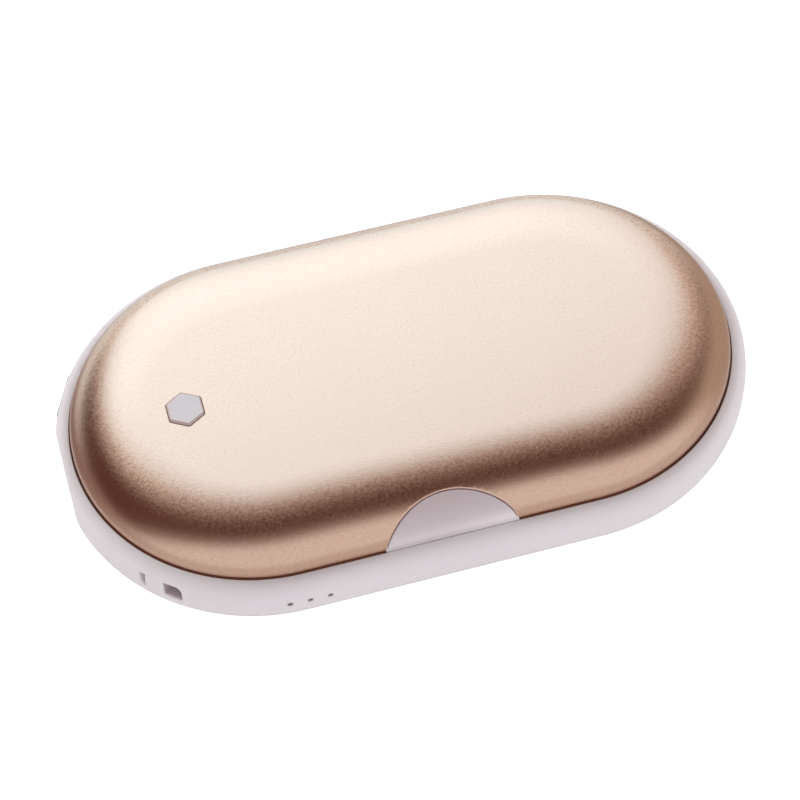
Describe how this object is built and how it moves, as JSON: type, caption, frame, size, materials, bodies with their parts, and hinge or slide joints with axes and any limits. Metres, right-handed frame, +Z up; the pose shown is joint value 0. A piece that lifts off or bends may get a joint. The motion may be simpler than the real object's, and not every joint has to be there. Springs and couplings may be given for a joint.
{
  "type": "rechargeable hand warmer",
  "caption": "Pebble-shaped rechargeable hand warmer: domed aluminium shells on a pale plastic band, with a press button, status lights, a charging port and a cord anchor.",
  "frame": {"origin": "centre of the underside, on the surface the warmer rests on, midway between its two ends", "axes": "+X along the length, away from the port end; +Y from the side with the inlay and lights to the far side; +Z up, out of the top shell with the button"},
  "size_m": [0.109, 0.0636, 0.0214],
  "materials": {
    "rose_aluminium": "fine bead-blasted and anodised rose gold",
    "pale_plastic": "smooth satin moulding",
    "inlay_plastic": "smooth satin moulding",
    "button_plastic": "fine satin",
    "chassis_plastic": "plain moulding",
    "bright_steel": "bright plated",
    "socket_steel": "bright folded sheet",
    "nickel": "rolled strip",
    "cell_sleeve": "glossy shrink sleeve",
    "board_laminate": "green solder mask",
    "dark_plastic": "moulded",
    "ferrite": "pressed powder",
    "capacitor_body": "moulded",
    "contact_gold": "gold plated",
    "clear_guide": "clear moulding",
    "led_lens": "cast lens",
    "lead_insulation": "silicone insulation",
    "heater_film": "etched foil in amber film",
    "pad_foam": "thin foam sheet",
    "epoxy_bead": "dipped bead"
  },
  "bodies": {
    "housing": {"top_shell": "rose_aluminium", "bottom_shell": "rose_aluminium", "mid_frame": "pale_plastic", "half_moon_inlay": "inlay_plastic", "switch_body": "bright_steel", "inner_chassis": "chassis_plastic", "chassis_screw_1": "bright_steel", "chassis_screw_2": "bright_steel", "chassis_screw_3": "bright_steel", "chassis_screw_4": "bright_steel", "main_board": "board_laminate", "board_screw_1": "bright_steel", "board_screw_2": "bright_steel", "charge_controller_chip": "dark_plastic", "heater_transistor": "dark_plastic", "inductor": "ferrite", "capacitor_1": "capacitor_body", "capacitor_2": "capacitor_body", "usb_a_shell": "socket_steel", "usb_a_tongue": "dark_plastic", "usb_a_contact_1": "contact_gold", "usb_a_contact_2": "contact_gold", "usb_a_contact_3": "contact_gold", "usb_a_contact_4": "contact_gold", "micro_usb_shell": "socket_steel", "micro_usb_tongue": "dark_plastic", "led_light_guide": "clear_guide", "led_1": "led_lens", "led_2": "led_lens", "led_3": "led_lens", "battery_cell_1": "cell_sleeve", "battery_cell_2": "cell_sleeve", "nickel_strip_front": "nickel", "nickel_strip_rear": "nickel", "battery_lead": "lead_insulation", "top_heater_film": "heater_film", "bottom_heater_film": "heater_film", "top_insulation_pad": "pad_foam", "bottom_insulation_pad": "pad_foam", "top_thermistor": "epoxy_bead", "bottom_thermistor": "epoxy_bead"},
    "button": {"power_button": "button_plastic", "switch_plunger": "dark_plastic"}
  },
  "joints": [
    {"name": "button_press", "type": "slide", "parent": "housing", "child": "button", "axis": [0, 0, -1], "range_m": [0, 0.0003], "stiffness_N_per_m": 4000}
  ]
}
